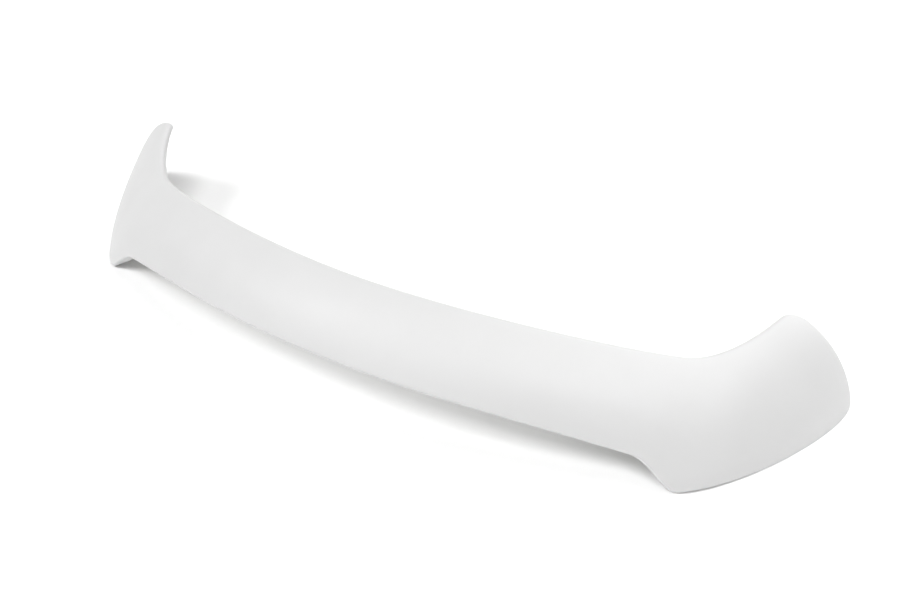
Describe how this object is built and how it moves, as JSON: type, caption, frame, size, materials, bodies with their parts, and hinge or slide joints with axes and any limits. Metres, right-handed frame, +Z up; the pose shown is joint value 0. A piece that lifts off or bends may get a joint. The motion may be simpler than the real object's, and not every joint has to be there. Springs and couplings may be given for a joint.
{
  "type": "rear spoiler",
  "caption": "Hatchback tailgate spoiler: a thin moulded shell with an arched middle strip, flared end cheeks with forward horns, rolled edges, and flanges below.",
  "frame": {"origin": "on the surface it lies on, under the middle of its outline seen from above", "axes": "+X along the shell towards the car's right end, +Y forwards to the roof, where the horns point, +Z up as it lies on the lower flanges of its cheeks"},
  "size_m": [1.2588, 0.3278, 0.1418],
  "materials": {
    "moulding": "satin white gelcoat over glass-reinforced plastic"
  },
  "bodies": {
    "root": {"spoiler": "moulding"}
  },
  "joints": []
}
